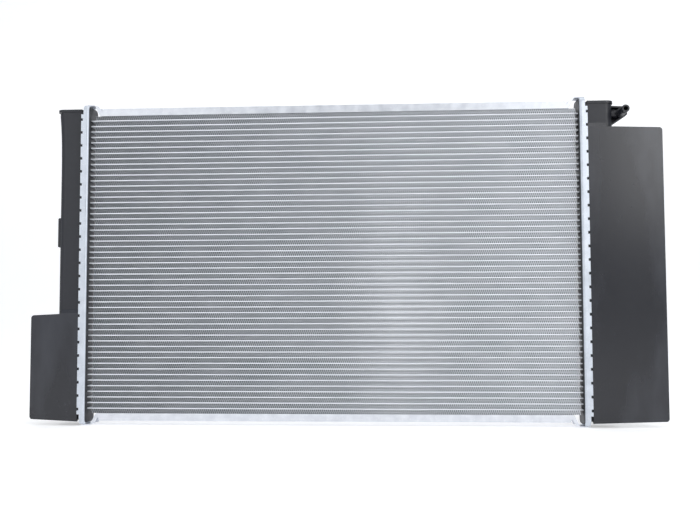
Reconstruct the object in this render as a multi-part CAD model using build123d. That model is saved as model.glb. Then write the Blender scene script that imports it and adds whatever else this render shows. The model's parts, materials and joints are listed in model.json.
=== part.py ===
from build123d import *
import os

# Cross-flow car radiator: an aluminium tube-and-fin core between two crimped plastic end tanks.
# All sizes are in millimetres. X runs across the core, +Y runs back towards the engine, +Z is up.
# Pieces are drawn about the centre of the core and moved at the end, so that the origin lies
# under the middle of the whole radiator.

# --- core -------------------------------------------------------------------------------------
CORE_WIDTH = 600.0  # between the two header plates
CORE_DEPTH = 16.0
TUBE_COUNT = 53
TUBE_PITCH = 6.85
TUBE_THICKNESS = 1.6
TUBE_WALL = 0.25
TUBE_PAST_HEADER = 2.0  # how far a tube end stands inside the tank
FIN_HEIGHT = TUBE_PITCH - TUBE_THICKNESS
FIN_LEFT = -295.5  # the fins stop short of the header plates
FIN_RIGHT = 297.5
ROWS_IN_BANK = 6
BANKS = 9

CORE_HALF_HEIGHT = (TUBE_COUNT - 1) / 2 * TUBE_PITCH + TUBE_THICKNESS / 2 + FIN_HEIGHT

# --- header plates and their crimp --------------------------------------------------------------
SHEET = 1.5
HEADER_IN = CORE_WIDTH / 2
HEADER_OUT = HEADER_IN + 9.6
HEADER_RIM = HEADER_IN + 6.8  # the wall at the corners and ends, where nothing is folded
HEADER_HALF_DEPTH = 17.0
HEADER_HALF_HEIGHT = 197.0
HEADER_CORNER = 7.0
HEADER_EASE = 3.0  # rounding of the rim at each end of the plate
TAB_PITCH = 16.2
TAB_GAP = 3.4
TAB_NOTCH = 2.1
TAB_LAP = 4.2  # how far a tab folds in, measured from the plate's outer face
TAB_NOTCHES = 23

# --- gasket and tank foot -----------------------------------------------------------------------
GASKET_THICKNESS = 2.5
GASKET_WIDTH = 4.0
FIT_GAP = 0.3
FOOT_IN = HEADER_IN + SHEET + GASKET_THICKNESS
FOOT_OUT = HEADER_OUT - SHEET - 0.1
FOOT_HALF_DEPTH = HEADER_HALF_DEPTH - SHEET - FIT_GAP
FOOT_HALF_HEIGHT = HEADER_HALF_HEIGHT - SHEET - FIT_GAP
FOOT_SLOPE = 2.2

# --- tanks --------------------------------------------------------------------------------------
TANK_WALL = 2.6
TANK_HALF_DEPTH = 12.4
TANK_HALF_HEIGHT = 190.2
TANK_CORNER = 9.0
LEFT_REACH = 338.2
RIGHT_REACH = 341.0
FLARE = 3.2  # the left tank widens by this much towards its top
FLARE_FROM = 100.0
RIM_THICKNESS = 3.0
RIM_PROUD = 1.0
RIM_TOP = 191.8
BODY_START = HEADER_OUT + FIT_GAP
RIB_COUNT = 13
RIB_PITCH = 27.0
RIB_THICKNESS = 2.0
RIB_PROUD = 1.8

# --- air guides, clipped to the front of the tanks --------------------------------------------------
GUIDE_THICKNESS = 3.0
GUIDE_BACK = -TANK_HALF_DEPTH
GUIDE_FRONT = GUIDE_BACK - GUIDE_THICKNESS
GUIDE_CORNER = 3.6
GUIDE_FALL = 2.8  # the outer end of each long edge runs in by this much
LEFT_GUIDE_REACH = 369.0
LEFT_GUIDE_TOP = -61.4
RIGHT_GUIDE_REACH = 397.5
RIGHT_GUIDE_TOP = 160.6
GUIDE_BOTTOM = -193.4
GUIDE_STEP = 4.2  # height of the bevelled lip that lies on the tank
GUIDE_LIP = 0.6
GUIDE_LIP_LENGTH = 22.0
GUSSET_THICKNESS = 2.2
GUSSET_GAP = 0.3
GUSSET_DEPTH = 15.0

# --- hose necks -----------------------------------------------------------------------------------
NECK_RADIUS = 14.5
NECK_BORE = 12.0
NECK_FROM_CORE = 326.0
NECK_ROOT = 5.0
NECK_COLLAR = (18.5, 21.0, 16.5)  # starts, ends, radius
NECK_GROOVE = (49.0, 53.0, 13.6)
NECK_END = 58.0
INLET_HEIGHT = 128.0
OUTLET_HEIGHT = -150.0

# --- bleed nipple on the right tank ---------------------------------------------------------------
NIPPLE_FROM_CORE = 351.2
NIPPLE_HEIGHT = 177.8
NIPPLE_RADIUS = 4.6
NIPPLE_BORE = 2.6
NIPPLE_ROOT_RADIUS = 5.4
NIPPLE_TIP = -30.0
NIPPLE_ROOT_END = -9.0
NIPPLE_GROOVE = (-26.5, -24.0, 3.9)
POCKET_FRONT = -4.0
POCKET_BACK = 5.5
POCKET_WALL = 1.8

# --- fan shroud bosses and the drain --------------------------------------------------------------
BOSS_FROM_CORE = 323.0
BOSS_HEIGHTS = (170.0, -90.0)
BOSS_RADIUS = 7.5
BOSS_END = 24.0
INSERT_RADIUS = 4.5
INSERT_BORE = 2.55
INSERT_DEPTH = 10.0
DRAIN_FROM_CORE = 325.0
DRAIN_HEIGHT = -168.0
DRAIN_BOSS_RADIUS = 10.0
DRAIN_BOSS_END = 26.0
DRAIN_SEAT = 15.5
DRAIN_BORE = 6.05
DRAIN_OUTLET = 3.0
DRAIN_PLAY = 0.05
DRAIN_PORT = 2.4
SPOUT_RADIUS = 3.8
SPOUT_BORE = 2.3
SPOUT_LENGTH = 20.0
SPOUT_FROM_CORE = (DRAIN_SEAT + DRAIN_BOSS_END) / 2 + 0.6
SPOUT_COLLAR = (4.6, 12.0)  # radius, and how far below the drain's axis its flat end lies
SPOUT_RELIEF = (3.2, 8.5)  # the same for the wider bore that meets the plug
SEAL_SECTION = 0.85
SEAL_RADIUS = 7.25
SEAL_GAP = 0.05

# --- side plates ------------------------------------------------------------------------------------
PLATE_SHEET = 1.2
PLATE_HEIGHT = 9.0
PLATE_END = 285.2  # where the flanges stop, at their free edge
PLATE_SLANT = 2.6
PLATE_CORNER = 2.0
TONGUE_FOOT = 289.0  # where the tongue leaves the web
TONGUE_STAND = 295.4  # where it turns over the header plate
TONGUE_RIM = 4.4
HOOK_END = 305.2
HOOK_GAP = 0.15

# --- where the core's centre lies in the finished part's frame ---------------------------------------
HOOK_TOP = HEADER_HALF_HEIGHT + HOOK_GAP + PLATE_SHEET
CORE_CENTRE = Pos(
    (LEFT_GUIDE_REACH - RIGHT_GUIDE_REACH) / 2, -(NIPPLE_TIP + NECK_END) / 2, HOOK_TOP
)


def tube_height(index):
    """Height of the middle of a tube, counted from the top."""
    return ((TUBE_COUNT - 1) / 2 - index) * TUBE_PITCH


def block(x0, x1, y0, y1, z0, z1):
    """A box between two corners."""
    middle = Pos((x0 + x1) / 2, (y0 + y1) / 2, (z0 + z1) / 2)
    return middle * Box(abs(x1 - x0), abs(y1 - y0), abs(z1 - z0))


def rod(x, y0, y1, z, radius):
    """A round bar along Y."""
    return Pos(x, (y0 + y1) / 2, z) * Rot(90, 0, 0) * Cylinder(radius, abs(y1 - y0))


def rounded_block(x0, x1, half_depth, half_height, corner):
    """A block about the X axis whose four long edges are rounded."""
    section = Plane.YZ * RectangleRounded(2 * half_depth, 2 * half_height, corner)
    return Pos(x0, 0, 0) * extrude(section, x1 - x0)


# --- the core ---------------------------------------------------------------------------------------
def flat_tube(height):
    """One flat-oval coolant tube."""
    reach = HEADER_IN + SHEET + TUBE_PAST_HEADER
    outer = Plane.YZ * SlotOverall(CORE_DEPTH, TUBE_THICKNESS)
    inner = Plane.YZ * SlotOverall(CORE_DEPTH - 2 * TUBE_WALL, TUBE_THICKNESS - 2 * TUBE_WALL)
    return Pos(-reach, 0, height) * extrude(outer - inner, 2 * reach)


def fin_strip(height):
    """The space that one corrugated fin strip fills, from tube to tube."""
    return block(
        FIN_LEFT,
        FIN_RIGHT,
        -CORE_DEPTH / 2,
        CORE_DEPTH / 2,
        height - FIN_HEIGHT / 2,
        height + FIN_HEIGHT / 2,
    )


def tube_bank(bank):
    first = bank * ROWS_IN_BANK
    last = min(first + ROWS_IN_BANK, TUBE_COUNT)
    return [flat_tube(tube_height(row)) for row in range(first, last)]


def fin_bank(bank):
    first = bank * ROWS_IN_BANK
    rows = range(first, first + ROWS_IN_BANK)
    return [fin_strip(tube_height(row) + TUBE_PITCH / 2) for row in rows]


# --- header plate -----------------------------------------------------------------------------------
def crimp_notches():
    """Heights of the notches between the folded tabs."""
    return [(n - (TAB_NOTCHES - 1) / 2) * TAB_PITCH for n in range(TAB_NOTCHES)]


def crimp_tabs():
    """The tabs folded over the tank foot, down both long sides."""
    end = (TAB_NOTCHES - 1) / 2 * TAB_PITCH + TAB_PITCH / 2
    edges = [-end] + crimp_notches() + [end]
    tabs = []
    for low, high in zip(edges, edges[1:]):
        for side in (-1, 1):
            tabs.append(
                block(
                    HEADER_OUT - SHEET,
                    HEADER_OUT,
                    side * (HEADER_HALF_DEPTH - 0.5),
                    side * (HEADER_HALF_DEPTH - TAB_LAP),
                    low + TAB_GAP / 2,
                    high - TAB_GAP / 2,
                )
            )
    return tabs


def rim_cuts():
    """What is cut from the plate's rim: a notch beside each tab, and all of it at the ends."""
    reach = HEADER_HALF_DEPTH + 1
    low = HEADER_OUT - TAB_NOTCH
    cuts = [
        block(low, HEADER_OUT + 1, -reach, reach, z - TAB_GAP / 2, z + TAB_GAP / 2)
        for z in crimp_notches()
    ]
    end = (TAB_NOTCHES - 1) / 2 * TAB_PITCH + TAB_PITCH / 2 - TAB_GAP / 2
    for side in (-1, 1):
        top = side * (HEADER_HALF_HEIGHT + 1)
        cuts.append(block(HEADER_RIM, HEADER_OUT + 1, -reach, reach, side * end, top))
    return cuts


def header_plate():
    """The pressed plate that the tubes are brazed into, for the right-hand side."""
    pan = rounded_block(
        HEADER_IN, HEADER_OUT, HEADER_HALF_DEPTH, HEADER_HALF_HEIGHT, HEADER_CORNER
    )
    pan = fillet(pan.edges().filter_by(Axis.Y).group_by(Axis.X)[0], HEADER_EASE)
    inside = rounded_block(
        HEADER_IN + SHEET,
        HEADER_OUT + 1,
        HEADER_HALF_DEPTH - SHEET,
        HEADER_HALF_HEIGHT - SHEET,
        HEADER_CORNER - SHEET,
    )
    slot = Plane.YZ * SlotOverall(CORE_DEPTH, TUBE_THICKNESS)
    slots = [
        Pos(HEADER_IN - 1, 0, tube_height(row)) * extrude(slot, SHEET + 2)
        for row in range(TUBE_COUNT)
    ]
    return pan - inside - rim_cuts() - slots + crimp_tabs()


def gasket():
    """The rubber ring squeezed between header plate and tank foot."""
    outer = rounded_block(
        HEADER_IN + SHEET, FOOT_IN, FOOT_HALF_DEPTH, FOOT_HALF_HEIGHT, HEADER_CORNER - SHEET
    )
    inner = rounded_block(
        HEADER_IN,
        FOOT_IN + 1,
        FOOT_HALF_DEPTH - GASKET_WIDTH,
        FOOT_HALF_HEIGHT - GASKET_WIDTH,
        HEADER_CORNER - SHEET - 2,
    )
    return outer - inner


# --- side plate --------------------------------------------------------------------------------------
def tongue(side):
    """The end of the web, bent up beside the header plate and hooked over it, with narrow rims."""
    middle = CORE_HALF_HEIGHT + PLATE_SHEET / 2
    top = HOOK_TOP - PLATE_SHEET / 2
    line = FilletPolyline(
        (side * PLATE_END, middle),
        (side * TONGUE_FOOT, middle),
        (side * TONGUE_STAND, top),
        (side * HOOK_END, top),
        radius=2.6,
    )
    sheet = extrude(Plane.XZ * trace(line, PLATE_SHEET), CORE_DEPTH / 2, both=True)
    rim = Polyline(
        (side * (TONGUE_FOOT - TONGUE_RIM), middle),
        (side * (TONGUE_FOOT + 0.2), middle),
        (side * (TONGUE_STAND - 0.4), HOOK_TOP - PLATE_SHEET),
        (side * (TONGUE_STAND - TONGUE_RIM), HOOK_TOP - PLATE_SHEET - 0.6),
        close=True,
    )
    rims = extrude(Plane.XZ * make_face(rim), CORE_DEPTH / 2, both=True)
    between = block(
        side * PLATE_END,
        side * HOOK_END,
        -CORE_DEPTH / 2 + PLATE_SHEET,
        CORE_DEPTH / 2 - PLATE_SHEET,
        CORE_HALF_HEIGHT,
        HOOK_TOP,
    )
    return sheet + (rims - between)


def side_plate():
    """The upper side plate: one pressing, a shallow channel over the fins with a tongue each end."""
    low = CORE_HALF_HEIGHT
    high = low + PLATE_HEIGHT
    web_end = PLATE_END + PLATE_SLANT
    outline = Polyline(
        (-web_end, low), (-PLATE_END, high), (PLATE_END, high), (web_end, low), close=True
    )
    shape = Plane.XZ * make_face(outline)
    shape = fillet(shape.vertices().group_by(Axis.Z)[-1], PLATE_CORNER)
    bar = extrude(shape, CORE_DEPTH / 2, both=True)
    hollow = block(
        -web_end - 1,
        web_end + 1,
        -CORE_DEPTH / 2 + PLATE_SHEET,
        CORE_DEPTH / 2 - PLATE_SHEET,
        low + PLATE_SHEET,
        high + 1,
    )
    return (bar - hollow) + tongue(-1) + tongue(1)


# --- tanks ---------------------------------------------------------------------------------------------
def tank_block(reach, flare, inset):
    """The tank's body grown inwards by inset, with rounded outer corners."""
    top = TANK_HALF_HEIGHT - inset
    wide = reach + flare - inset
    side = (
        Spline(
            (reach - inset, FLARE_FROM),
            (wide, top),
            tangents=((0, 1), (0.11, 1)),
        )
        if flare
        else Line((wide, FLARE_FROM), (wide, top))
    )
    outline = Curve() + [
        Line((FOOT_IN, -top), (reach - inset, -top)),
        Line((reach - inset, -top), (reach - inset, FLARE_FROM)),
        side,
        Line((wide, top), (FOOT_IN, top)),
        Line((FOOT_IN, top), (FOOT_IN, -top)),
    ]
    solid = extrude(Plane.XZ * make_face(outline), TANK_HALF_DEPTH - inset, both=True)
    outer = [
        edge
        for edge in solid.edges()
        if edge.center().X > reach - inset - 1 and abs(edge.center().Y) > 1
    ]
    return fillet(outer, TANK_CORNER - inset)


def end_rim(reach, side):
    """The lip around one end of a tank; the lower one is flush where the air guide lies on it."""
    proud = RIM_PROUD if side > 0 else 0
    half_depth = TANK_HALF_DEPTH + proud
    width = reach + proud - BODY_START
    outline = Pos(BODY_START + width / 2, 0) * Rectangle(width, 2 * half_depth)
    plate = Pos(0, 0, RIM_TOP - RIM_THICKNESS) * extrude(outline, RIM_THICKNESS)
    corners = plate.edges().filter_by(Axis.Z).group_by(Axis.X)[-1]
    plate = fillet(corners, TANK_CORNER)
    return plate if side > 0 else mirror(plate, about=Plane.XY)


def rear_ribs(reach, keep_clear):
    """Low ribs across the back of the tank, left out where something else stands."""
    ribs = []
    for n in range(RIB_COUNT):
        z = (n - (RIB_COUNT - 1) / 2) * RIB_PITCH
        if any(abs(z - height) < space for height, space in keep_clear):
            continue
        ribs.append(
            block(
                BODY_START,
                reach - TANK_CORNER,
                TANK_HALF_DEPTH - 0.5,
                TANK_HALF_DEPTH + RIB_PROUD,
                z - RIB_THICKNESS / 2,
                z + RIB_THICKNESS / 2,
            )
        )
    return ribs


def hose_neck(height):
    """The hose neck's outside, and its bore, at the back of a tank."""
    x = NECK_FROM_CORE
    collar_start, collar_end, collar_radius = NECK_COLLAR
    groove_start, groove_end, groove_radius = NECK_GROOVE
    tip = rod(x, groove_end, NECK_END, height, NECK_RADIUS)
    tip = fillet(tip.edges().filter_by(GeomType.CIRCLE), 1.2)
    outside = [
        rod(x, NECK_ROOT, groove_start, height, NECK_RADIUS),
        rod(x, collar_start, collar_end, height, collar_radius),
        rod(x, groove_start - 1, groove_end + 1.5, height, groove_radius),
        tip,
    ]
    return outside, rod(x, NECK_ROOT + TANK_WALL, NECK_END + 1, height, NECK_BORE)


def shroud_bosses():
    """The two insert bosses at the back of each tank, and the holes that the inserts fill."""
    x = BOSS_FROM_CORE
    bosses = [rod(x, TANK_HALF_DEPTH - 2, BOSS_END, z, BOSS_RADIUS) for z in BOSS_HEIGHTS]
    holes = [rod(x, BOSS_END - INSERT_DEPTH, BOSS_END + 1, z, INSERT_RADIUS) for z in BOSS_HEIGHTS]
    return bosses, holes


def bare_tank(reach, flare, neck_height, clear):
    """What the two tanks share: foot, body, rims, ribs, neck and bosses."""
    foot = rounded_block(
        FOOT_IN, FOOT_OUT, FOOT_HALF_DEPTH, FOOT_HALF_HEIGHT, HEADER_CORNER - SHEET - FIT_GAP
    )
    foot = chamfer(foot.edges().filter_by(Axis.Y).group_by(Axis.X)[-1], FOOT_SLOPE)
    neck, bore = hose_neck(neck_height)
    bosses, holes = shroud_bosses()
    cavity = tank_block(reach, flare, TANK_WALL)
    solid = tank_block(reach, flare, 0) + foot
    solid += [end_rim(reach + flare, 1), end_rim(reach, -1)]
    solid += rear_ribs(reach, clear + [(neck_height, 24)] + [(z, 13) for z in BOSS_HEIGHTS])
    solid += neck + bosses
    return solid - cavity - bore - holes


def side_pad():
    """The clip pad on the outer side of the left tank."""
    low, high = 20.0, 56.6
    pad = block(LEFT_REACH - 4, LEFT_REACH + 2.8, -6, 9, low, high)
    pad = fillet(pad.edges().filter_by(Axis.Y).group_by(Axis.X)[-1], 1.6)
    slot = block(LEFT_REACH, LEFT_REACH + 4, -2, 5, low + 10, high - 10)
    return pad - slot


def left_tank():
    tank = bare_tank(LEFT_REACH, FLARE, OUTLET_HEIGHT, [])
    return mirror(tank + side_pad(), about=Plane.YZ)


def nipple_pocket():
    """The open-fronted bracket that carries the bleed nipple."""
    x, z = NIPPLE_FROM_CORE, NIPPLE_HEIGHT
    root = RIGHT_REACH - 2
    outline = Polyline(
        (root, z + 9.6), (x + 3.6, z + 8.8), (x + 9.6, z - 1.0), (root, z - 15.6), close=True
    )
    face = Plane.XZ * make_face(outline)
    face = fillet(face.vertices().sort_by(Axis.X)[-2:], 2.6)
    depth = POCKET_BACK - POCKET_FRONT
    shell = Pos(0, POCKET_FRONT, 0) * extrude(face, -depth)
    inside = offset(face, -POCKET_WALL)
    return shell - Pos(0, POCKET_FRONT - 1, 0) * extrude(inside, -(depth + 1 - POCKET_WALL))


def bleed_nipple():
    """The nipple's outside and its bore: out of the tank's side, then forward."""
    x, z = NIPPLE_FROM_CORE, NIPPLE_HEIGHT
    groove_start, groove_end, groove_radius = NIPPLE_GROOVE
    across = Pos((RIGHT_REACH - 3 + x) / 2, 0, z) * Rot(0, 90, 0) * Cylinder(
        NIPPLE_ROOT_RADIUS, x - RIGHT_REACH + 3
    )
    bead = rod(x, NIPPLE_TIP, groove_start, z, NIPPLE_RADIUS)
    bead = fillet(bead.edges().filter_by(GeomType.CIRCLE), 0.8)
    outside = [
        across,
        Pos(x, 0, z) * Sphere(NIPPLE_ROOT_RADIUS),
        rod(x, NIPPLE_ROOT_END, 0, z, NIPPLE_ROOT_RADIUS),
        rod(x, groove_end, NIPPLE_ROOT_END + 1, z, NIPPLE_RADIUS),
        rod(x, groove_start - 1, groove_end + 1, z, groove_radius),
        bead,
    ]
    feed = Pos((RIGHT_REACH - 8 + x) / 2, 0, z) * Rot(0, 90, 0) * Cylinder(
        NIPPLE_BORE, x - RIGHT_REACH + 8
    )
    bore = [feed, Pos(x, 0, z) * Sphere(NIPPLE_BORE), rod(x, NIPPLE_TIP - 1, 0, z, NIPPLE_BORE)]
    return outside, bore


def hanging_rod(radius, length):
    """A round bar that hangs from the drain's axis, in line with the spout."""
    return Pos(DRAIN_FROM_CORE, SPOUT_FROM_CORE, DRAIN_HEIGHT - length / 2) * Cylinder(radius, length)


def drain_boss():
    """The drain's boss, its spout and its bores."""
    x, z = DRAIN_FROM_CORE, DRAIN_HEIGHT
    outside = [
        rod(x, TANK_HALF_DEPTH - 2, DRAIN_BOSS_END, z, DRAIN_BOSS_RADIUS),
        hanging_rod(SPOUT_COLLAR[0], SPOUT_COLLAR[1]),
        hanging_rod(SPOUT_RADIUS, SPOUT_LENGTH),
    ]
    bores = [
        rod(x, DRAIN_SEAT, DRAIN_BOSS_END + 1, z, DRAIN_BORE),
        rod(x, TANK_HALF_DEPTH - TANK_WALL - 1, DRAIN_SEAT + 1, z, DRAIN_OUTLET),
        hanging_rod(SPOUT_RELIEF[0], SPOUT_RELIEF[1]),
        hanging_rod(SPOUT_BORE, SPOUT_LENGTH + 1),
    ]
    return outside, bores


def right_tank():
    tank = bare_tank(RIGHT_REACH, 0, INLET_HEIGHT, [(DRAIN_HEIGHT, 16)])
    nipple, nipple_bore = bleed_nipple()
    drain, drain_bores = drain_boss()
    cavity = tank_block(RIGHT_REACH, 0, TANK_WALL)
    return tank + (nipple_pocket() - cavity) + nipple + drain - nipple_bore - drain_bores


# --- air guides ---------------------------------------------------------------------------------------
def guide_sheet(reach, top):
    """The flat guide, whose bevelled upper lip lies on the front of the tank."""
    outline = Polyline(
        (BODY_START, GUIDE_BOTTOM),
        (reach, GUIDE_BOTTOM + GUIDE_FALL),
        (reach, top - GUIDE_FALL),
        (BODY_START, top),
        close=True,
    )
    face = Plane.XZ * make_face(outline)
    corners = face.vertices().group_by(Axis.X)[-1]
    sheet = Pos(0, GUIDE_FRONT, 0) * extrude(fillet(corners, GUIDE_CORNER), -GUIDE_THICKNESS)
    section = Polyline(
        (GUIDE_FRONT, top - 2),
        (GUIDE_FRONT, top - 0.2),
        (GUIDE_BACK - GUIDE_LIP, top + GUIDE_STEP),
        (GUIDE_BACK, top + GUIDE_STEP),
        (GUIDE_BACK, top - 2),
        close=True,
    )
    lip = extrude(Plane.YZ * make_face(section), GUIDE_LIP_LENGTH, dir=(1, 0, 0))
    return sheet + Pos(BODY_START, 0, 0) * lip


def guide_gussets(tank_reach, reach, top, count):
    """Small triangles behind the guide that bear on the side of the tank."""
    start = tank_reach + GUSSET_GAP
    run = min(reach - start - 7, 32)
    section = Polyline(
        (start, GUIDE_BACK - 0.5),
        (start + run, GUIDE_BACK - 0.5),
        (start + run, GUIDE_BACK + 0.6),
        (start, GUIDE_BACK + GUSSET_DEPTH),
        close=True,
    )
    plate = extrude(make_face(section), GUSSET_THICKNESS / 2, both=True)
    first, last = GUIDE_BOTTOM + 26, top - 22
    return [Pos(0, 0, first + (last - first) * n / (count - 1)) * plate for n in range(count)]


def left_guide():
    guide = guide_sheet(LEFT_GUIDE_REACH, LEFT_GUIDE_TOP)
    guide += guide_gussets(LEFT_REACH, LEFT_GUIDE_REACH, LEFT_GUIDE_TOP, 4)
    return mirror(guide, about=Plane.YZ)


def right_guide():
    guide = guide_sheet(RIGHT_GUIDE_REACH, RIGHT_GUIDE_TOP)
    return guide + guide_gussets(RIGHT_REACH, RIGHT_GUIDE_REACH, RIGHT_GUIDE_TOP, 7)


# --- small pieces ------------------------------------------------------------------------------------
def shroud_inserts():
    """The four threaded brass inserts."""
    inserts = []
    for side in (-1, 1):
        for z in BOSS_HEIGHTS:
            x = side * BOSS_FROM_CORE
            body = rod(x, BOSS_END - INSERT_DEPTH, BOSS_END, z, INSERT_RADIUS)
            inserts.append(
                body - rod(x, BOSS_END - INSERT_DEPTH - 1, BOSS_END + 1, z, INSERT_BORE)
            )
    return inserts


def drain_seal():
    """The O-ring under the drain plug's head."""
    middle = DRAIN_BOSS_END + SEAL_GAP + SEAL_SECTION
    ring = Rot(90, 0, 0) * Torus(SEAL_RADIUS, SEAL_SECTION)
    return Pos(DRAIN_FROM_CORE, middle, DRAIN_HEIGHT) * ring


def drain_plug():
    """The quarter-turn plug, shut: its side port faces away from the spout until it is turned."""
    x, z = DRAIN_FROM_CORE, DRAIN_HEIGHT
    start = DRAIN_SEAT + 0.6
    head = DRAIN_BOSS_END + 2 * (SEAL_GAP + SEAL_SECTION)
    shank = rod(x, start, head, z, DRAIN_BORE - DRAIN_PLAY)
    shank = chamfer(shank.edges().filter_by(GeomType.CIRCLE).sort_by(Axis.Y)[0], 0.8)
    cap = rod(x, head, head + 2.6, z, 9.2)
    cap = fillet(cap.edges().filter_by(GeomType.CIRCLE).sort_by(Axis.Y)[-1], 0.8)
    grip = Pos(x, head + 1, z) * extrude(Plane.XZ * RectangleRounded(30, 4.2, 2.0), -13)
    grip = fillet(grip.edges().group_by(Axis.Y)[-1], 1.0)
    hub = rod(x, head + 1, head + 10, z, 4.6)
    along = rod(x, start - 1, SPOUT_FROM_CORE + DRAIN_PORT, z, DRAIN_PORT)
    sideways = Pos(x + 5, SPOUT_FROM_CORE, z) * Rot(0, 90, 0) * Cylinder(DRAIN_PORT, 10)
    return shank + cap + grip + hub - along - sideways


def main():
    pieces = {
        "right_header": header_plate(),
        "left_header": mirror(header_plate(), about=Plane.YZ),
        "right_gasket": gasket(),
        "left_gasket": mirror(gasket(), about=Plane.YZ),
        "upper_side_plate": side_plate(),
        "lower_side_plate": mirror(side_plate(), about=Plane.XY),
        "left_tank": left_tank(),
        "right_tank": right_tank(),
        "left_air_guide": left_guide(),
        "right_air_guide": right_guide(),
        "shroud_inserts": shroud_inserts(),
        "drain_o_ring": drain_seal(),
        "drain_plug": drain_plug(),
    }
    for bank in range(BANKS):
        pieces[f"tube_bank_{bank + 1}"] = tube_bank(bank)
        pieces[f"fin_bank_{bank + 1}"] = fin_bank(bank)
    os.makedirs("parts", exist_ok=True)
    for name, piece in pieces.items():
        solids = piece if isinstance(piece, list) else list(piece.solids())
        whole = CORE_CENTRE * Compound(children=[Solid(s.solid().wrapped) for s in solids])
        export_step(whole, f"parts/{name}.step")


main()
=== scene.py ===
import json
import math

import bpy
import numpy as np
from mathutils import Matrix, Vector


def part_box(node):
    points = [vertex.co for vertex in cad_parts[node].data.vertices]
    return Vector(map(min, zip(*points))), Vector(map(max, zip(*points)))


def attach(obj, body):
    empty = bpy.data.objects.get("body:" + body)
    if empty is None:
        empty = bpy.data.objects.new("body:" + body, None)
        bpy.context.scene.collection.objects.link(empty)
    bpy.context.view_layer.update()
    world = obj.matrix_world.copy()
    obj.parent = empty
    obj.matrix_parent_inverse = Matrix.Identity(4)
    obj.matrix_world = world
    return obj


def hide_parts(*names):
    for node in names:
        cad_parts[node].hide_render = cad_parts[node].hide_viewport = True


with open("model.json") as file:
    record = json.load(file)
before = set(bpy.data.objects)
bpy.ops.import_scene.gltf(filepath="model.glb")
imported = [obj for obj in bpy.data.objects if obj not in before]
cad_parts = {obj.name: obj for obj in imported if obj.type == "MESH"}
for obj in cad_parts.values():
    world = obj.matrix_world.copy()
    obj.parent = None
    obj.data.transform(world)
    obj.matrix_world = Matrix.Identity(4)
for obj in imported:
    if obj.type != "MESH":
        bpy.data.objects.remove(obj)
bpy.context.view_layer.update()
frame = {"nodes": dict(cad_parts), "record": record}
NODES = frame["nodes"]
MM = 0.001

# Everything below is in metres, in the CAD's own frame.

# --- camera and stage -------------------------------------------------------------------------
CAMERA_AT = Vector((0.0652, -1.0107, 0.1397))
CAMERA_TOWARDS = Vector((-0.05645, 0.99673, 0.05787))
CAMERA_ROLL = -0.18
LENS = 41.94
FLOOR_FRONT = -3.0
FLOOR_BACK = 1.3
COVE_RADIUS = 0.8
COVE_TOP = 3.2
FLOOR_HALF_WIDTH = 5.0
COVE_STEPS = 24
FLOOR_GLOW = 0.38
SKY_COLOUR = (0.89, 0.94, 1.0)
SKY_STRENGTH = 0.42
# Each light's name, place, target, width and height, and power in watts.
LIGHTS = (
    ("key", (1.22, -1.5, 0.92), (0.2, 0, 0.3), (1.1, 1.0), 13.5),
    ("fill", (-1.3, -1.6, 0.9), (0, 0, 0.2), (1.4, 1.2), 7),
    ("top", (0, -0.2, 1.9), (0, 0, 0.2), (2.0, 1.2), 12),
)

# --- fin strips ---------------------------------------------------------------------------------
FIN_BANKS = 9
STRIPS_IN_BANK = 6
FIN_WAVE = 2.44 * MM
FIN_CREST = 0.24 * MM  # width of the flat at each fold, brazed to a tube
# How far each edge of a louvre stands off the leg's own line, from the front to the middle.
LOUVRE_LEANS = [lean * MM for lean in (0.42, 0.44, 0.50, 0.64, 0.64, 0.64)]
LOUVRES = 2 * len(LOUVRE_LEANS)
FIN_SEED = 7  # for where each strip's first fold falls
# Where the painted shade inside the core gives way to the fins' own bright colour, as a share of the
# way from the core's middle to its face.
FIN_SHADE_DARK_TO = 0.60
FIN_SHADE_CLEAR_FROM = 0.76

# --- header plates ------------------------------------------------------------------------------
# How far past its face, towards the tank, the painted shade on a header ends.
HEADER_SHADE_DARK_TO = 0.15 * MM
HEADER_SHADE_CLEAR_FROM = 0.5 * MM


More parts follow.
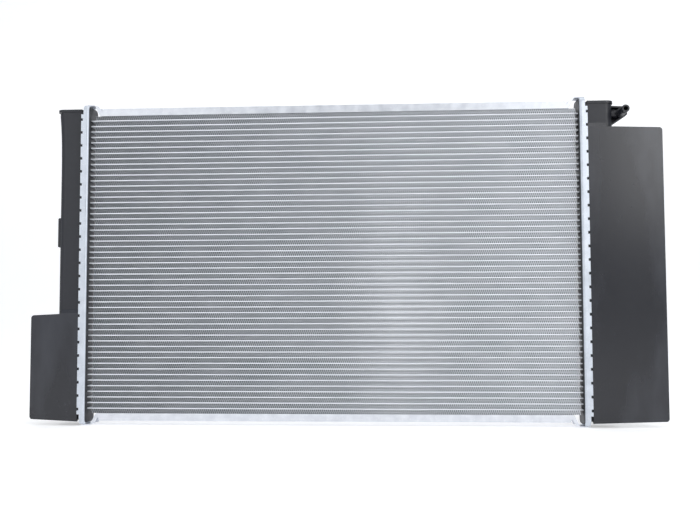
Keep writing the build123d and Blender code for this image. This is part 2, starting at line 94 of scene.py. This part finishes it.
# --- material helpers -----------------------------------------------------------------------------
class Paint:
    """A material under construction: one shader fed by textures in object space."""

    def __init__(self, name, base, metallic, roughness):
        self.material = bpy.data.materials.new(name)
        self.material.use_nodes = True
        self.tree = self.material.node_tree
        self.shader = self.tree.nodes["Principled BSDF"]
        self.shader.inputs["Base Color"].default_value = (*base, 1.0)
        self.shader.inputs["Metallic"].default_value = metallic
        self.shader.inputs["Roughness"].default_value = roughness
        self.place = self.tree.nodes.new("ShaderNodeTexCoord").outputs["Object"]
        self.height = None

    def link(self, source, target):
        self.tree.links.new(source, target)

    def stretched(self, scale):
        """Object coordinates scaled by axis, so that a texture can run along one of them."""
        node = self.tree.nodes.new("ShaderNodeMapping")
        node.inputs["Scale"].default_value = scale
        self.link(self.place, node.inputs["Vector"])
        return node.outputs["Vector"]

    def axis(self, name):
        """One object coordinate, in metres."""
        node = self.tree.nodes.new("ShaderNodeSeparateXYZ")
        self.link(self.place, node.inputs[0])
        return node.outputs[name]

    def away_from(self, value, middle):
        """How far a coordinate lies from a middle value, either way."""
        shift = self.tree.nodes.new("ShaderNodeMath")
        shift.operation = "SUBTRACT"
        shift.inputs[1].default_value = middle
        self.link(value, shift.inputs[0])
        size = self.tree.nodes.new("ShaderNodeMath")
        size.operation = "ABSOLUTE"
        self.link(shift.outputs[0], size.inputs[0])
        return size.outputs[0]

    def noise(self, scale, detail=3.0, stretch=(1, 1, 1)):
        node = self.tree.nodes.new("ShaderNodeTexNoise")
        node.inputs["Scale"].default_value = scale
        node.inputs["Detail"].default_value = detail
        self.link(self.stretched(stretch), node.inputs["Vector"])
        return node.outputs["Fac"]

    def spots(self, scale, size, soft):
        """Small round patches: 1 in the middle of each and 0 between them."""
        node = self.tree.nodes.new("ShaderNodeTexVoronoi")
        node.inputs["Scale"].default_value = scale
        self.link(self.place, node.inputs["Vector"])
        return self.ramp(node.outputs["Distance"], size, size + soft, 1.0, 0.0)

    def ramp(self, value, low, high, at_low, at_high):
        node = self.tree.nodes.new("ShaderNodeMapRange")
        sockets = ("From Min", "From Max", "To Min", "To Max")
        for name, number in zip(sockets, (low, high, at_low, at_high)):
            node.inputs[name].default_value = number
        self.link(value, node.inputs["Value"])
        return node.outputs["Result"]

    def mix(self, factor, first, second):
        """Blends two colours; either may be a triple or another node's output."""
        node = self.tree.nodes.new("ShaderNodeMix")
        node.data_type = "RGBA"
        self.link(factor, node.inputs["Factor"])
        for name, colour in (("A", first), ("B", second)):
            socket = [s for s in node.inputs if s.name == name and s.type == "RGBA"][0]
            if isinstance(colour, tuple):
                socket.default_value = (*colour, 1.0)
            else:
                self.link(colour, socket)
        return [s for s in node.outputs if s.type == "RGBA"][0]

    def colour(self, value):
        self.link(value, self.shader.inputs["Base Color"])

    def roughness(self, value):
        self.link(value, self.shader.inputs["Roughness"])

    def bump(self, value, strength, distance):
        node = self.tree.nodes.new("ShaderNodeBump")
        node.inputs["Strength"].default_value = strength
        node.inputs["Distance"].default_value = distance
        self.link(value, node.inputs["Height"])
        if self.height is not None:
            self.link(self.height, node.inputs["Normal"])
        self.height = node.outputs["Normal"]
        self.link(self.height, self.shader.inputs["Normal"])


def moulded_nylon(name, smooth, rough, shine, wiped_and_sheen):
    """Black glass-filled nylon: a fine moulded grain, faint flow marks, dust, and lighter patches
    that are partly wiped smudges and partly a painted sheen.
    """
    paint = Paint(name, (0.0105, 0.0113, 0.016), 0.0, smooth)
    flow = paint.noise(7, 3, (1, 1, 0.2))
    dust = paint.noise(260, 6)
    wiped_and_sheen_patches = paint.noise(16, 4, (1, 1, 0.3))
    flowed = paint.ramp(flow, 0.35, 0.7, 0, 1)
    body = paint.mix(flowed, (0.0085, 0.0092, 0.0135), (0.0125, 0.0134, 0.0190))
    # Lighter patches: partly wiped smudges, partly a painted sheen standing in for reflections;
    # strongest on the air guides.
    body = paint.mix(paint.ramp(wiped_and_sheen_patches, 0.42, 0.66, 0, wiped_and_sheen), body, (0.042, 0.045, 0.056))
    paint.colour(paint.mix(paint.ramp(dust, 0.6, 0.85, 0, 0.25), body, (0.045, 0.047, 0.054)))
    paint.roughness(paint.ramp(paint.noise(160, 5), 0.3, 0.7, smooth, rough))
    paint.shader.inputs["Specular IOR Level"].default_value = shine
    paint.bump(paint.noise(1500, 3), 0.14, 0.00005)
    return paint.material


def brazed_aluminium(name, light, dark, fleck, lengthways):
    """Brazed sheet: rolling marks, a mottled oxide and pale flux residue."""
    paint = Paint(name, light, 0.85, 0.45)
    rolled = paint.noise(400, 4, lengthways)
    mottle = paint.noise(90, 6)
    sheet = paint.mix(paint.ramp(mottle, 0.35, 0.68, 0, 1), dark, light)
    sheet = paint.mix(paint.ramp(rolled, 0.3, 0.75, 0, 0.35), sheet, dark)
    flux = paint.spots(fleck, 0.12, 0.2)
    surface = paint.mix(paint.ramp(flux, 0, 1, 0, 0.35), sheet, (0.9, 0.91, 0.93))
    paint.colour(surface)
    paint.roughness(paint.ramp(mottle, 0.3, 0.7, 0.36, 0.58))
    paint.bump(rolled, 0.15, 0.00005)
    paint.bump(flux, 0.2, 0.0001)
    return paint, surface


def side_plate_aluminium():
    paint, _ = brazed_aluminium(
        "side_plate_aluminium", (0.84, 0.86, 0.90), (0.70, 0.72, 0.77), 260, (0.04, 1, 1)
    )
    return paint.material


def header_aluminium():
    """The header plates, whose face between the tube ends is coloured near black as painted shade."""
    paint, surface = brazed_aluminium(
        "header_aluminium", (0.71, 0.75, 0.81), (0.58, 0.62, 0.68), 420, (1, 1, 0.04)
    )
    left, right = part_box("left_header")[1].x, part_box("right_header")[0].x
    from_middle = paint.away_from(paint.axis("X"), (left + right) / 2)
    face = (right - left) / 2
    # Painted shade: the face towards the core, where the gap to the fins lies in shade, is coloured
    # near black.
    painted_shade_on_face = paint.ramp(from_middle, face + HEADER_SHADE_DARK_TO, face + HEADER_SHADE_CLEAR_FROM, 1, 0)
    paint.colour(paint.mix(painted_shade_on_face, surface, (0.06, 0.062, 0.068)))
    return paint.material


def tube_aluminium():
    """Drawn flat tube: fine lines along its length."""
    paint = Paint("tube_aluminium", (0.86, 0.88, 0.92), 0.55, 0.34)
    drawn = paint.noise(900, 3, (0.03, 1, 1))
    paint.colour(paint.mix(paint.ramp(drawn, 0.3, 0.7, 0, 1), (0.74, 0.76, 0.80), (0.88, 0.90, 0.94)))
    paint.roughness(paint.ramp(paint.noise(150, 4), 0.3, 0.7, 0.46, 0.6))
    paint.bump(drawn, 0.12, 0.00003)
    return paint.material


def fin_aluminium():
    """Thin fin stock, uneven from strip to strip and bright at the core's faces, with painted shade
    darkening it inside the core.
    """
    paint = Paint("fin_aluminium", (0.93, 0.94, 0.97), 0.1, 0.4)
    uneven = paint.noise(28, 5, (1, 1, 2.5))
    face = paint.mix(paint.ramp(uneven, 0.35, 0.65, 0, 1), (0.83, 0.85, 0.88), (0.90, 0.91, 0.94))
    low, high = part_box("fin_bank_1")
    depth = paint.away_from(paint.axis("Y"), (low.y + high.y) / 2)
    edge = (high.y - low.y) / 2
    clear_of_painted_shade = paint.ramp(depth, FIN_SHADE_DARK_TO * edge, FIN_SHADE_CLEAR_FROM * edge, 0, 1)
    # Painted shade: the fins' colour turns dark grey deeper inside the core, away from its faces.
    paint.colour(paint.mix(clear_of_painted_shade, (0.24, 0.248, 0.272), face))
    paint.roughness(paint.ramp(paint.noise(600, 3), 0.3, 0.7, 0.32, 0.5))
    paint.bump(paint.noise(2500, 2), 0.15, 0.00003)
    return paint.material


def gasket_rubber():
    paint = Paint("gasket_rubber", (0.016, 0.016, 0.017), 0.0, 0.7)
    paint.colour(paint.mix(paint.noise(220, 4), (0.011, 0.011, 0.012), (0.028, 0.028, 0.03)))
    paint.roughness(paint.ramp(paint.noise(300, 3), 0.3, 0.7, 0.6, 0.8))
    paint.bump(paint.noise(1200, 2), 0.3, 0.00005)
    return paint.material


def insert_brass():
    """Turned brass: rings round the insert and a little tarnish."""
    paint = Paint("insert_brass", (0.72, 0.52, 0.24), 1.0, 0.3)
    paint.colour(paint.mix(paint.noise(350, 5), (0.50, 0.34, 0.14), (0.80, 0.60, 0.30)))
    paint.roughness(paint.ramp(paint.noise(500, 3), 0.3, 0.7, 0.22, 0.42))
    paint.bump(paint.noise(4000, 2, (1, 0.2, 1)), 0.2, 0.00003)
    return paint.material


def drain_plastic():
    """The drain plug's harder, smoother black plastic."""
    paint = Paint("drain_plastic", (0.022, 0.022, 0.024), 0.0, 0.4)
    paint.colour(paint.mix(paint.noise(160, 5), (0.016, 0.016, 0.018), (0.032, 0.032, 0.035)))
    paint.roughness(paint.ramp(paint.noise(240, 4), 0.3, 0.7, 0.3, 0.45))
    paint.bump(paint.noise(1800, 2), 0.2, 0.00004)
    return paint.material


def paint_nodes(materials):
    """Gives every CAD node the finish of its slot; the air guides have a smoother skin."""
    for part in frame["record"]["subparts"]:
        finish = part["material_slot"]
        if part["node"].endswith("air_guide"):
            finish = "guide_plastic"
        mesh = NODES[part["node"]].data
        mesh.materials.clear()
        mesh.materials.append(materials[finish])


# --- fins -------------------------------------------------------------------------------------------
def strip_quads(left, right, front, back, low, high, phase):
    """Corner points of every louvre and fold of one corrugated strip, as an (n, 4, 3) array."""
    half = FIN_WAVE / 2
    count = int((right - left) / half) - 1
    start = left + phase
    folds = start + half * np.arange(count + 1)
    up = np.arange(count + 1) % 2 == 0
    height = np.where(up, high, low)
    foot = np.stack([folds[:-1] + FIN_CREST / 2, height[:-1]], 1)
    head = np.stack([folds[1:] - FIN_CREST / 2, height[1:]], 1)
    along = head - foot
    across = np.stack([along[:, 1], -along[:, 0]], 1) / np.linalg.norm(along, axis=1)[:, None]
    across *= np.where(up[:-1], 1.0, -1.0)[:, None]
    depths = np.linspace(front, back, LOUVRES + 1)
    quads = []
    leans = [-lean for lean in LOUVRE_LEANS] + list(reversed(LOUVRE_LEANS))
    for n, lean in enumerate(leans):
        near, far = across * lean, -across * lean
        corners = [
            (foot + near, depths[n]),
            (head + near, depths[n]),
            (head + far, depths[n + 1]),
            (foot + far, depths[n + 1]),
        ]
        quads.append(np.stack([np.insert(xz, 1, y, axis=1) for xz, y in corners], 1))
    flat_corners = [(-1, front), (1, front), (1, back), (-1, back)]
    flats = [
        np.stack([folds + side * FIN_CREST / 2, np.full(count + 1, y), height], 1)
        for side, y in flat_corners
    ]
    quads.append(np.stack(flats, 1))
    return np.concatenate(quads)


def mesh_of_quads(name, quads):
    mesh = bpy.data.meshes.new(name)
    total = len(quads)
    mesh.vertices.add(total * 4)
    mesh.vertices.foreach_set("co", quads.astype(np.float32).ravel())
    mesh.loops.add(total * 4)
    mesh.loops.foreach_set("vertex_index", np.arange(total * 4, dtype=np.int32))
    mesh.polygons.add(total)
    mesh.polygons.foreach_set("loop_start", np.arange(0, total * 4, 4, dtype=np.int32))
    mesh.update(calc_edges=True)
    mesh.validate()
    return mesh


def fin_banks(material):
    """Six louvred, corrugated strips for each bank, in place of the bank's plain slabs."""
    rng = np.random.default_rng(FIN_SEED)
    height = fin_height()
    for bank in range(1, FIN_BANKS + 1):
        node = f"fin_bank_{bank}"
        low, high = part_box(node)
        pitch = (high.z - low.z - height) / (STRIPS_IN_BANK - 1)
        quads = []
        for strip in range(STRIPS_IN_BANK):
            bottom = low.z + strip * pitch
            phase = FIN_WAVE * 0.5 * rng.random()
            top = bottom + height
            quads.append(strip_quads(low.x, high.x, low.y, high.y, bottom, top, phase))
        mesh = mesh_of_quads(f"fins_{bank}", np.concatenate(quads))
        piece = bpy.data.objects.new(f"fins_{bank}", mesh)
        piece.data.materials.append(material)
        bpy.context.scene.collection.objects.link(piece)
        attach(piece, "radiator")
        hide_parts(node)


def fin_height():
    """Height of one strip: the gap between two tubes, read from where the banks meet the tubes."""
    tubes_low, tubes_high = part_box("tube_bank_1")
    fins_low, fins_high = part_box("fin_bank_1")
    return fins_high.z - tubes_high.z if fins_high.z > tubes_high.z else tubes_low.z - fins_low.z


# --- stage ------------------------------------------------------------------------------------------
def floor():
    """A pale floor that curves up behind the object."""
    profile = [(FLOOR_FRONT, 0.0), (FLOOR_BACK, 0.0)]
    for n in range(1, COVE_STEPS + 1):
        angle = math.pi / 2 * n / COVE_STEPS
        y = FLOOR_BACK + COVE_RADIUS * math.sin(angle)
        profile.append((y, COVE_RADIUS * (1 - math.cos(angle))))
    profile.append((FLOOR_BACK + COVE_RADIUS, COVE_TOP))
    points = [(side * FLOOR_HALF_WIDTH, y, z) for y, z in profile for side in (-1, 1)]
    faces = [(2 * n, 2 * n + 1, 2 * n + 3, 2 * n + 2) for n in range(len(profile) - 1)]
    mesh = bpy.data.meshes.new("floor")
    mesh.from_pydata(points, [], faces)
    for face in mesh.polygons:
        face.use_smooth = True
    paint = Paint("floor", (0.88, 0.88, 0.89), 0.0, 0.9)
    paint.shader.inputs["Emission Color"].default_value = (1, 1, 1, 1)
    paint.shader.inputs["Emission Strength"].default_value = FLOOR_GLOW
    mesh.materials.append(paint.material)
    plane = bpy.data.objects.new("floor", mesh)
    bpy.context.scene.collection.objects.link(plane)


def soft_light(name, at, towards, size, power):
    light = bpy.data.lights.new(name, "AREA")
    light.shape = "RECTANGLE"
    light.size, light.size_y = size
    light.energy = power
    lamp = bpy.data.objects.new(name, light)
    lamp.location = at
    lamp.rotation_euler = (Vector(towards) - Vector(at)).to_track_quat("-Z", "Y").to_euler()
    bpy.context.scene.collection.objects.link(lamp)


def studio():
    world = bpy.data.worlds.new("studio")
    world.use_nodes = True
    sky = world.node_tree.nodes["Background"]
    sky.inputs["Color"].default_value = (*SKY_COLOUR, 1)
    sky.inputs["Strength"].default_value = SKY_STRENGTH
    bpy.context.scene.world = world
    for light in LIGHTS:
        soft_light(*light)


def camera():
    data = bpy.data.cameras.new("camera")
    data.sensor_width = 36
    data.lens = LENS
    data.clip_start = 0.01
    view = bpy.data.objects.new("camera", data)
    view.location = CAMERA_AT
    turn = CAMERA_TOWARDS.to_track_quat("-Z", "Y").to_euler()
    turn.rotate_axis("Z", math.radians(CAMERA_ROLL))
    view.rotation_euler = turn
    bpy.context.scene.collection.objects.link(view)
    bpy.context.scene.camera = view


def main():
    camera()
    studio()
    floor()
    bpy.context.scene.view_settings.view_transform = "Standard"
    materials = {
        "tank_plastic": moulded_nylon("tank_plastic", 0.40, 0.47, 0.5, 0.12),
        "guide_plastic": moulded_nylon("guide_plastic", 0.235, 0.265, 0.58, 0.85),
        "header_aluminium": header_aluminium(),
        "side_plate_aluminium": side_plate_aluminium(),
        "tube_aluminium": tube_aluminium(),
        "fin_aluminium": fin_aluminium(),
        "gasket_rubber": gasket_rubber(),
        "insert_brass": insert_brass(),
        "drain_plastic": drain_plastic(),
    }
    paint_nodes(materials)
    fin_banks(materials["fin_aluminium"])


main()
